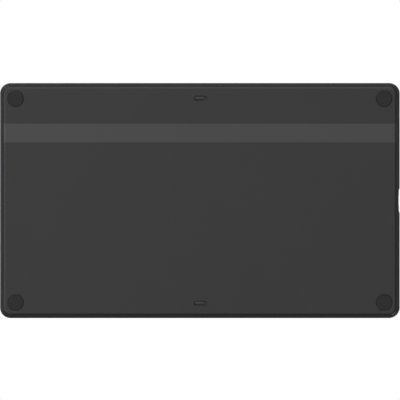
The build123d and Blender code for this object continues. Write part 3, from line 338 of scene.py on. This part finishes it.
def hook_mask(nodes, place):
    """1 on the smooth faces of the two snap hooks, which show in the cover's windows."""
    height = nodes.part(place, "Z")
    from_middle = nodes.math("ABSOLUTE", nodes.part(place, "X"))
    low = nodes.step(height, COVER_BACK + 0.6 * MM, COVER_BACK + 0.4 * MM)
    return low * nodes.step(from_middle, 6.0 * MM, 5.5 * MM)


def cover_edge(nodes, place):
    """1 on the rounded edge of the cover and of the band's ends, which handling has polished."""
    half = half_of("back_cover")
    corner = CASE_CORNER - half_of("front_shell").x + half.x
    from_edge = nodes.distance_in_plan(place, centre_of("back_cover"), half, corner)
    return nodes.step(from_edge, -2.4 * MM, -1.0 * MM)


def band_plastic(colour):
    """Smooth, faintly rippled plastic of the band."""
    nodes = new_material("smooth_plastic")
    place = nodes.place()
    ripple = nodes.noise(place, 7 * MM, detail=2.0)
    haze = nodes.noise(nodes.stretched(place, (0.25, 1.0, 1.0)), 1.6 * MM, detail=4.0)
    relief = nodes.bump(ripple, 0.010 * MM, nodes.bump(haze, 0.002 * MM))
    base = nodes.tinted(colour, 0.97 + 0.06 * haze)
    roughness = 0.26 + 0.08 * haze - 0.10 * cover_edge(nodes, place)
    return nodes.surface(Base_Color=base, Roughness=roughness, Normal=relief, IOR=1.50)


def foot_rubber(colour):
    """Matt rubber: a fine grain, a few pits, and dust where it has stood."""
    nodes = new_material("foot_rubber")
    place = nodes.place()
    grain = nodes.noise(place, 0.25 * MM, detail=3.0)
    pits = nodes.step(nodes.cells(place, 0.9 * MM), 0.22, 0.10)
    dust = nodes.step(nodes.noise(place, 2.2 * MM, detail=5.0), 0.50, 0.78)
    rubber = nodes.tinted(colour, 0.88 + 0.24 * grain - 0.12 * pits)
    base = nodes.blended(dust * 0.14, rubber, (0.16, 0.155, 0.15))
    relief = nodes.bump(grain, 0.03 * MM, nodes.bump(pits, -0.03 * MM))
    return nodes.surface(Base_Color=base, Roughness=0.70 + 0.14 * dust, Normal=relief, IOR=1.40)


def sheet_film(colour):
    """Toothed film: a very fine even grain that is a little polished where the pen works most."""
    nodes = new_material("sheet_film")
    place = nodes.place()
    tooth = nodes.noise(place, 0.16 * MM, detail=2.0, roughness=0.6)
    fibre = nodes.noise(nodes.stretched(place, (1.0, 0.35, 1.0)), 0.9 * MM, detail=3.0)
    drift = nodes.noise(place, 60 * MM, detail=2.0)
    centre = centre_of("drawing_sheet")
    half = half_of("drawing_sheet")
    from_edge = nodes.distance_in_plan(place, centre, half, SHEET_CORNER)
    worked = nodes.step(from_edge, -20 * MM, -70 * MM) * drift
    edge = nodes.step(from_edge, -0.45 * MM, -0.15 * MM)
    tone = 0.92 + 0.10 * fibre + 0.08 * drift + 0.35 * edge
    relief = nodes.bump(tooth, 0.010 * MM, nodes.bump(fibre, 0.004 * MM))
    base = nodes.tinted(colour, tone)
    return nodes.surface(Base_Color=base, Roughness=0.60 - 0.10 * worked, Normal=relief, IOR=1.45)


def key_plastic(colour):
    """Satin keys, polished in the middle of each by fingertips."""
    nodes = new_material("key_plastic")
    place = nodes.place()
    grain = nodes.noise(place, 0.14 * MM, detail=2.0)
    smear = nodes.noise(place, 3.0 * MM, detail=4.0)
    from_line = nodes.math("ABSOLUTE", nodes.part(place, "X") - STRIP_X)
    past_first = nodes.part(place, "Y") - centre_of("key_1").y
    wave = nodes.math("COSINE", past_first * (2 * math.pi / KEY_PITCH))
    middle = nodes.step(from_line, 8.0 * MM, 2.0 * MM) * nodes.step(wave, 0.0, 1.0)
    touched = middle * nodes.step(smear, 0.3, 0.6)
    base = nodes.tinted(colour, 0.94 + 0.10 * grain + 0.08 * touched)
    relief = nodes.bump(grain, 0.006 * MM)
    return nodes.surface(Base_Color=base, Roughness=0.44 - 0.12 * touched, Normal=relief, IOR=1.46)


def dial_plastic(colour):
    """Satin plastic of the dial, rubbed at its top edge."""
    nodes = new_material("dial_plastic")
    place = nodes.place()
    grain = nodes.noise(place, 0.14 * MM, detail=2.0)
    smear = nodes.noise(place, 2.5 * MM, detail=4.0)
    from_axis = nodes.distance_to_axis(place, DIAL_CENTRE)
    radius = half_of("dial_ring").x
    edge = nodes.step(from_axis, radius - 1.1 * MM, radius - 0.5 * MM)
    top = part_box("dial_ring")[1].z
    high = nodes.step(nodes.part(place, "Z"), top - 1.2 * MM, top - 0.4 * MM)
    rubbed = edge * high * nodes.step(smear, 0.35, 0.60)
    base = nodes.tinted(colour, 0.94 + 0.10 * grain + 0.30 * rubbed)
    relief = nodes.bump(grain, 0.006 * MM)
    return nodes.surface(Base_Color=base, Roughness=0.40 - 0.10 * rubbed, Normal=relief, IOR=1.46)


def trim_metal(colour, ink):
    """Spun metal: fine rings about the dial's axis, dark anodised, with one inked dot for the finger."""
    nodes = new_material("trim_metal")
    place = nodes.place()
    from_axis = nodes.distance_to_axis(place, DIAL_CENTRE)
    rings = nodes.noise_along(from_axis, 0.10 * MM, detail=3.0)
    broad = nodes.noise_along(from_axis, 0.9 * MM, detail=1.0)
    cloud = nodes.noise(place, 4 * MM, detail=3.0)
    dot_radius = 0.8 * MM
    dot_inset = 3.2 * MM
    dot_y = DIAL_CENTRE.y + half_of("dial_trim").x - dot_inset
    from_dot = nodes.distance_to_axis(place, (DIAL_CENTRE.x, dot_y))
    dot = nodes.step(from_dot, dot_radius + 0.05 * MM, dot_radius - 0.05 * MM)
    metal = nodes.tinted(colour, 0.80 + 0.22 * rings + 0.14 * broad + 0.08 * cloud)
    base = nodes.blended(dot, metal, ink)
    relief = nodes.bump(dot, -0.05 * MM, nodes.bump(rings, 0.006 * MM))
    roughness = 0.26 + 0.16 * rings + 0.20 * dot
    return nodes.surface(Base_Color=base, Metallic=1 - dot, Roughness=roughness, Normal=relief)


def clear_plastic():
    """Polished clear rod with a frosted face."""
    nodes = new_material("clear_plastic")
    frost = nodes.noise(nodes.place(), 0.20 * MM, detail=2.0)
    relief = nodes.bump(frost, 0.004 * MM)
    base = nodes.tinted((0.86, 0.87, 0.88), 0.92 + 0.08 * frost)
    return nodes.surface(
        Base_Color=base, Roughness=0.12 + 0.16 * frost, Normal=relief, IOR=1.49, Transmission_Weight=0.75
    )


def printed_ink(colour):
    """Thin matt ink with a slightly uneven edge to its tone."""
    nodes = new_material("printed_ink")
    speck = nodes.noise(nodes.place(), 0.30 * MM, detail=3.0)
    base = nodes.tinted(colour, 0.88 + 0.24 * speck)
    relief = nodes.bump(speck, 0.004 * MM)
    return nodes.surface(Base_Color=base, Roughness=0.55 + 0.10 * speck, Normal=relief, IOR=1.46)


# Finishes of what lies inside


def plated_metal(name, colour, roughness, size, lengthways=(1.0, 1.0, 1.0)):
    """Plated or rolled metal: fine noise, drawn out along one axis where it was rolled."""
    nodes = new_material(name)
    place = nodes.stretched(nodes.place(), lengthways)
    fine = nodes.noise(place, size, detail=4.0)
    cloud = nodes.noise(place, size * 12, detail=2.0)
    base = nodes.tinted(colour, 0.86 + 0.18 * fine + 0.10 * cloud)
    relief = nodes.bump(fine, size / 60)
    rough = roughness - 0.06 + 0.16 * cloud
    return nodes.surface(Base_Color=base, Metallic=1.0, Roughness=rough, Normal=relief)


def moulded_plastic(name, colour, roughness, size):
    """Plain moulded plastic with a fine grain and faint flow lines."""
    nodes = new_material(name)
    place = nodes.place()
    grain = nodes.noise(place, size, detail=3.0)
    flow = nodes.noise(nodes.stretched(place, (1.0, 0.2, 1.0)), size * 10, detail=2.0)
    base = nodes.tinted(colour, 0.88 + 0.14 * grain + 0.10 * flow)
    relief = nodes.bump(grain, size / 40)
    return nodes.surface(Base_Color=base, Roughness=roughness + 0.10 * flow, Normal=relief, IOR=1.46)


def circuit_board():
    """Solder mask over copper: sensing loops or tracks run both ways as faint raised lines."""
    nodes = new_material("board")
    place = nodes.place()
    track_pitch = 1.27 * MM
    track = 0.25 * MM
    loop_pitch = 6.35 * MM
    loop = 0.35 * MM
    fine = nodes.noise(place, 0.4 * MM, detail=3.0)
    regions = nodes.noise(place, 9 * MM, detail=0.0)
    x = nodes.part(place, "X")
    y = nodes.part(place, "Y")
    loops = nodes.math("MAXIMUM", nodes.lines(x, loop_pitch, loop), nodes.lines(y, loop_pitch, loop))
    tracks_x = nodes.lines(x, track_pitch, track) * nodes.step(regions, 0.52, 0.54)
    tracks_y = nodes.lines(y, track_pitch, track) * nodes.step(regions, 0.48, 0.46)
    copper = nodes.math("MAXIMUM", loops, nodes.math("MAXIMUM", tracks_x, tracks_y))
    mask_green = nodes.tinted((0.010, 0.075, 0.032), 0.86 + 0.28 * fine)
    over_copper = nodes.tinted((0.030, 0.155, 0.070), 0.90 + 0.20 * fine)
    base = nodes.blended(copper, mask_green, over_copper)
    relief = nodes.bump(copper, 0.03 * MM)
    return nodes.surface(Base_Color=base, Roughness=0.28 + 0.10 * fine, Normal=relief, IOR=1.52)


def ribbon_film():
    """Amber film with copper lines along it."""
    nodes = new_material("ribbon")
    place = nodes.place()
    fine = nodes.noise(place, 0.5 * MM, detail=3.0)
    wires = nodes.lines(nodes.part(place, "Y"), 1.0 * MM, 0.6 * MM)
    film = nodes.tinted((0.36, 0.13, 0.02), 0.9 + 0.2 * fine)
    base = nodes.blended(wires, film, (0.55, 0.26, 0.10))
    relief = nodes.bump(wires, 0.02 * MM)
    return nodes.surface(Base_Color=base, Roughness=0.30 + 0.10 * fine, Normal=relief, IOR=1.52)


def glue_sheet():
    """Milky transfer glue with a few trapped bubbles."""
    nodes = new_material("glue")
    place = nodes.place()
    cloud = nodes.noise(place, 6 * MM, detail=4.0)
    bubbles = nodes.step(nodes.cells(place, 3.5 * MM), 0.10, 0.05)
    base = nodes.blended(bubbles, nodes.tinted((0.74, 0.73, 0.68), 0.9 + 0.2 * cloud), (0.55, 0.55, 0.52))
    relief = nodes.bump(bubbles, 0.03 * MM)
    return nodes.surface(Base_Color=base, Roughness=0.42 + 0.12 * cloud, Normal=relief, IOR=1.45)


# Making and dressing pieces


def nodes_of(slot):
    """The frame's nodes that take a material slot."""
    return [frame["nodes"][s["node"]] for s in frame["record"]["subparts"] if s["material_slot"] == slot]


def dress(slot, material):
    """Gives every node of a material slot its finish."""
    found = nodes_of(slot)
    if not found:
        raise RuntimeError(f"no node takes the slot {slot}")
    for piece in found:
        piece.data.materials.clear()
        piece.data.materials.append(material)


def raised_line(path, width, height, level):
    """Rows of points of a printed line: a flat-topped section carried along a path in plan.

    At each point of the path, the section's points lie at their distance across, measured
    square to the path, and at their height over the level. Rows join into a closed skin.
    """
    points = np.asarray(path, float)
    ahead = np.gradient(points, axis=0)
    ahead /= np.linalg.norm(ahead, axis=1)[:, None]
    across = np.stack([-ahead[:, 1], ahead[:, 0]], axis=1)
    side = width / 2
    section = np.array([(-side, 0.0), (side, 0.0), (side - height, height), (height - side, height)])
    plan = points[:, None, :] + across[:, None, :] * section[None, :, :1]
    heights = np.broadcast_to(level + section[None, :, 1:], (len(points), len(section), 1))
    return np.concatenate([plan, heights], axis=2)


def skin_of(rows):
    """Vertices and faces of rows of points joined into a tube, closed at both ends."""
    count, around, _ = rows.shape
    index = np.arange(count * around).reshape(count, around)
    onward = np.roll(index, -1, axis=1)
    walls = np.stack([index[:-1], onward[:-1], onward[1:], index[1:]], axis=2).reshape(-1, 4)
    faces = [list(face) for face in walls.tolist()]
    faces.append(index[0][::-1].tolist())
    faces.append(index[-1].tolist())
    return rows.reshape(-1, 3), faces


def piece_from(name, skins, body, material):
    """One new piece from several closed skins, riding on a body."""
    vertices, faces = [], []
    for points, loops in skins:
        start = len(vertices)
        vertices += points.tolist()
        faces += [[start + i for i in loop] for loop in loops]
    mesh = bpy.data.meshes.new(name)
    mesh.from_pydata(vertices, [], faces)
    mesh.validate()
    mesh.materials.append(material)
    piece = bpy.data.objects.new(name, mesh)
    bpy.context.scene.collection.objects.link(piece)
    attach(piece, body)
    return piece


def corner_path(corner, towards, arm, bend):
    """An arm along Y, a quarter turn and an arm along X, all turned towards the middle.

    The turn is an arc of the bend's radius about a centre one radius in from the corner.
    """
    turn = np.linspace(math.pi, 1.5 * math.pi, 9)
    arc = bend + bend * np.stack([np.cos(turn), np.sin(turn)], axis=1)
    local = np.concatenate([[(0.0, arm)], arc, [(arm, 0.0)]])
    return np.asarray(corner) + local * np.asarray(towards)


# Operators, one for each group of pieces


class TABLET_OT_case(bpy.types.Operator):
    """Finish the front shell and the back cover"""

    bl_idname = "tablet.case"
    bl_label = "Case"

    def execute(self, context):
        colours = context.scene.tablet_colours
        dress("shell_plastic", case_plastic("shell_plastic", colours.shell, smooth_colour=colours.band))
        dress("cover_plastic", case_plastic("cover_plastic", colours.cover, worn_edge=True))
        return {"FINISHED"}


class TABLET_OT_band(bpy.types.Operator):
    """Finish the smooth band across the back"""

    bl_idname = "tablet.band"
    bl_label = "Band"

    def execute(self, context):
        dress("smooth_plastic", band_plastic(context.scene.tablet_colours.band))
        return {"FINISHED"}


class TABLET_OT_feet(bpy.types.Operator):
    """Finish the four feet"""

    bl_idname = "tablet.feet"
    bl_label = "Feet"

    def execute(self, context):
        dress("foot_rubber", foot_rubber(context.scene.tablet_colours.rubber))
        return {"FINISHED"}


class TABLET_OT_sheet(bpy.types.Operator):
    """Finish the drawing sheet"""

    bl_idname = "tablet.sheet"
    bl_label = "Drawing sheet"

    def execute(self, context):
        dress("sheet_film", sheet_film(context.scene.tablet_colours.sheet))
        return {"FINISHED"}


class TABLET_OT_keys(bpy.types.Operator):
    """Finish the keys, the dial's button, the switches and their plungers"""

    bl_idname = "tablet.keys"
    bl_label = "Keys"

    def execute(self, context):
        dress("key_plastic", key_plastic(context.scene.tablet_colours.keys))
        dress("switch_plastic", moulded_plastic("switch_plastic", (0.02, 0.02, 0.021), 0.50, 0.2 * MM))
        dress("plunger_plastic", moulded_plastic("plunger_plastic", (0.50, 0.49, 0.46), 0.40, 0.2 * MM))
        return {"FINISHED"}


class TABLET_OT_dial(bpy.types.Operator):
    """Finish the dial and its trim"""

    bl_idname = "tablet.dial"
    bl_label = "Dial"

    def execute(self, context):
        colours = context.scene.tablet_colours
        dress("dial_plastic", dial_plastic(colours.dial))
        dress("trim_metal", trim_metal(colours.trim, colours.ink))
        return {"FINISHED"}


class TABLET_OT_marks(bpy.types.Operator):
    """Print the corner marks of the drawing area"""

    bl_idname = "tablet.marks"
    bl_label = "Printed marks"

    def execute(self, context):
        sizes = context.scene.tablet_marks
        material = printed_ink(context.scene.tablet_colours.ink)
        middle = centre_of("drawing_sheet")
        skins = []
        for i in (-1, 1):
            for j in (-1, 1):
                corner = (middle.x + i * sizes.active_length / 2, middle.y + j * sizes.active_depth / 2)
                path = corner_path(corner, (-i, -j), sizes.arm, sizes.bend)
                if i * j < 0:
                    path = path[::-1]
                skins.append(skin_of(raised_line(path, sizes.line, sizes.ink, SHEET_TOP)))
        piece_from("sheet_corner_marks", skins, "case", material)
        return {"FINISHED"}


class TABLET_OT_socket(bpy.types.Operator):
    """Finish the socket and the light pipe"""

    bl_idname = "tablet.socket"
    bl_label = "Socket and lamp"

    def execute(self, context):
        drawn = (0.2, 1.0, 1.0)
        dress("socket_metal", plated_metal("socket_metal", (0.55, 0.55, 0.56), 0.28, 0.3 * MM, drawn))
        dress("socket_plastic", moulded_plastic("socket_plastic", (0.016, 0.016, 0.017), 0.48, 0.2 * MM))
        dress("contact_brass", plated_metal("contact_brass", (0.85, 0.62, 0.28), 0.24, 0.2 * MM))
        dress("clear_plastic", clear_plastic())
        dress("lamp", moulded_plastic("lamp", (0.82, 0.82, 0.76), 0.30, 0.2 * MM))
        return {"FINISHED"}


class TABLET_OT_inside(bpy.types.Operator):
    """Finish the boards, the shield, the screws and everything else inside"""

    bl_idname = "tablet.inside"
    bl_label = "Inside"

    def execute(self, context):
        dress("board", circuit_board())
        dress("ribbon", ribbon_film())
        dress("glue", glue_sheet())
        rolled = (0.1, 1.0, 1.0)
        dress("shield_metal", plated_metal("shield_metal", (0.60, 0.60, 0.61), 0.34, 0.5 * MM, rolled))
        dress("screw_steel", plated_metal("screw_steel", (0.36, 0.36, 0.37), 0.32, 0.25 * MM))
        dress("insert_brass", plated_metal("insert_brass", (0.70, 0.48, 0.20), 0.34, 0.25 * MM))
        dress("chip_plastic", moulded_plastic("chip_plastic", (0.018, 0.018, 0.019), 0.55, 0.15 * MM))
        return {"FINISHED"}


# Camera, floor and light


LAMP_DISTANCE = 4.0

# Each lamp's name, its turn and tilt in degrees, and its diameter in metres. Its level is the
# studio property of the same name.
LAMPS = (
    ("back_far", 0, 142, 5.0),
    ("back_right", 90, 142, 3.8),
    ("back_left", -90, 142, 5.0),
    ("sheet_key", 40, 32, 2.4),
    ("sheet_edge", -140, 40, 2.0),
)


def angled(turn, tilt):
    """The direction that is tilted from straight up, and turned clockwise from +Y, by angles in degrees."""
    turn = math.radians(turn)
    tilt = math.radians(tilt)
    return Vector((math.sin(turn) * math.sin(tilt), math.cos(turn) * math.sin(tilt), math.cos(tilt)))


def lamp(name, direction, size, level):
    """A round soft lamp in a direction. Its power makes a white surface that faces it show its level.

    A lamp of power P at distance D lights such a surface to P / (pi * pi * D * D).
    """
    light = bpy.data.lights.new(name, "AREA")
    light.shape = "DISK"
    light.size = size
    light.energy = level * (math.pi * LAMP_DISTANCE) ** 2
    holder = bpy.data.objects.new(name, light)
    holder.location = direction * LAMP_DISTANCE
    holder.rotation_euler = direction.to_track_quat("Z", "Y").to_euler()
    holder.visible_camera = False
    bpy.context.scene.collection.objects.link(holder)


def studio_world(below, above):
    """White where the camera looks, and grey light all round.

    Reflections also show low panels at the right, the left and the far side, and below the
    object a long soft strip along Y.
    """
    left_level = 0.6
    strip_level = 0.7
    nodes = Nodes(bpy.data.worlds.new("studio"))
    direction = nodes.node("TexCoord", output="Generated")
    height = nodes.part(direction, "Z")
    rightward = nodes.part(direction, "X")
    right = nodes.step(rightward, 0.70, 0.85)
    left = left_level * nodes.step(rightward, -0.70, -0.85)
    far = nodes.step(nodes.part(direction, "Y"), 0.70, 0.85)
    low = nodes.step(height, 0.0, 0.20) * nodes.step(height, 0.50, 0.36)
    panels = low * (right + left + far)
    strip_width = nodes.step(rightward, -0.36, -0.14) * nodes.step(rightward, 0.62, 0.40)
    strip = strip_level * strip_width * nodes.step(height, -0.30, -0.60)
    to_camera = nodes.node("LightPath", output="Is Camera Ray")
    to_gloss = nodes.node("LightPath", output="Is Glossy Ray")
    to_glass = nodes.node("LightPath", output="Is Transmission Ray")
    white = nodes.math("MAXIMUM", nodes.math("MAXIMUM", to_camera, to_glass), to_gloss * (panels + strip))
    ambient = below + (above - below) * nodes.step(height, 0.5, 0.95)
    strength = white + (1 - white) * ambient
    sky = nodes.node("Background", values={"Color": (1.0, 1.0, 1.0, 1.0), "Strength": strength})
    nodes.node("OutputWorld", values={"Surface": sky})
    bpy.context.scene.world = nodes.owner


def pale_floor(colour, fade):
    """A floor under the feet, seen from above only.

    Close to the feet it is matt with a share of plain white, and with the distance it fades
    to white alone.
    """
    reach = 300.0
    white_share = 0.5
    mesh = bpy.data.meshes.new("floor")
    corners = [(-reach, -reach, 0.0), (reach, -reach, 0.0), (reach, reach, 0.0), (-reach, reach, 0.0)]
    mesh.from_pydata(corners, [], [(0, 1, 2, 3)])
    nodes = new_material("floor")
    seen_from_below = nodes.node("NewGeometry", output="Backfacing")
    matt = nodes.node("BsdfDiffuse", values={"Color": (*colour, 1.0)})
    white = nodes.node("Emission", values={"Color": (1.0, 1.0, 1.0, 1.0), "Strength": 1.0})
    distance = nodes.vector("LENGTH", nodes.place(), output=1)
    far = white_share + (1 - white_share) * nodes.step(distance, 0.2 * fade, fade)
    pale = nodes.node("MixShader", values={0: far, 1: matt, 2: white})
    nothing = nodes.node("BsdfTransparent")
    mixed = nodes.node("MixShader", values={0: seen_from_below, 1: pale, 2: nothing})
    nodes.node("OutputMaterial", values={"Surface": mixed})
    mesh.materials.append(nodes.owner)
    floor = bpy.data.objects.new("floor", mesh)
    floor.visible_diffuse = False
    floor.visible_glossy = False
    floor.visible_transmission = False
    floor.visible_shadow = False
    bpy.context.scene.collection.objects.link(floor)


class TABLET_OT_studio(bpy.types.Operator):
    """Set up the camera below the tablet, the floor and the light"""

    bl_idname = "tablet.studio"
    bl_label = "Studio"

    def execute(self, context):
        studio = context.scene.tablet_studio
        camera = bpy.data.cameras.new("camera")
        camera.lens = studio.lens
        distance = studio.picture_width * camera.lens / camera.sensor_width
        holder = bpy.data.objects.new("camera", camera)
        holder.location = (-studio.picture_x, studio.picture_y, studio.rim_height - distance)
        holder.rotation_euler = (0.0, math.pi, 0.0)
        context.scene.collection.objects.link(holder)
        context.scene.camera = holder
        for name, turn, tilt, size in LAMPS:
            lamp(name, angled(turn, tilt), size, getattr(studio, name))
        studio_world(studio.ambient_below, studio.ambient_above)
        pale_floor(studio.floor, studio.floor_fade)
        context.scene.view_settings.view_transform = "Standard"
        return {"FINISHED"}


STEPS = ["case", "band", "feet", "sheet", "keys", "dial", "marks", "socket", "inside", "studio"]


class TABLET_PT_sidebar(bpy.types.Panel):
    """The tablet's properties and operators in the 3D view's sidebar"""

    bl_idname = "TABLET_PT_sidebar"
    bl_label = "Pen tablet"
    bl_space_type = "VIEW_3D"
    bl_region_type = "UI"
    bl_category = "Tablet"

    def draw(self, context):
        for group in ("tablet_colours", "tablet_marks", "tablet_studio"):
            box = self.layout.box()
            values = getattr(context.scene, group)
            for name in values.__annotations__:
                box.prop(values, name)
        for step in STEPS:
            self.layout.operator(f"tablet.{step}")


CLASSES = [
    TabletColours,
    TabletMarks,
    TabletStudio,
    TABLET_OT_case,
    TABLET_OT_band,
    TABLET_OT_feet,
    TABLET_OT_sheet,
    TABLET_OT_keys,
    TABLET_OT_dial,
    TABLET_OT_marks,
    TABLET_OT_socket,
    TABLET_OT_inside,
    TABLET_OT_studio,
    TABLET_PT_sidebar,
]
GROUPS = {"tablet_colours": TabletColours, "tablet_marks": TabletMarks, "tablet_studio": TabletStudio}


def register():
    for each in CLASSES:
        bpy.utils.register_class(each)
    for name, group in GROUPS.items():
        setattr(bpy.types.Scene, name, bpy.props.PointerProperty(type=group))


def unregister():
    for name in GROUPS:
        delattr(bpy.types.Scene, name)
    for each in reversed(CLASSES):
        bpy.utils.unregister_class(each)


def main():
    register()
    for step in STEPS:
        getattr(bpy.ops.tablet, step)()


if __name__ == "__main__":
    main()
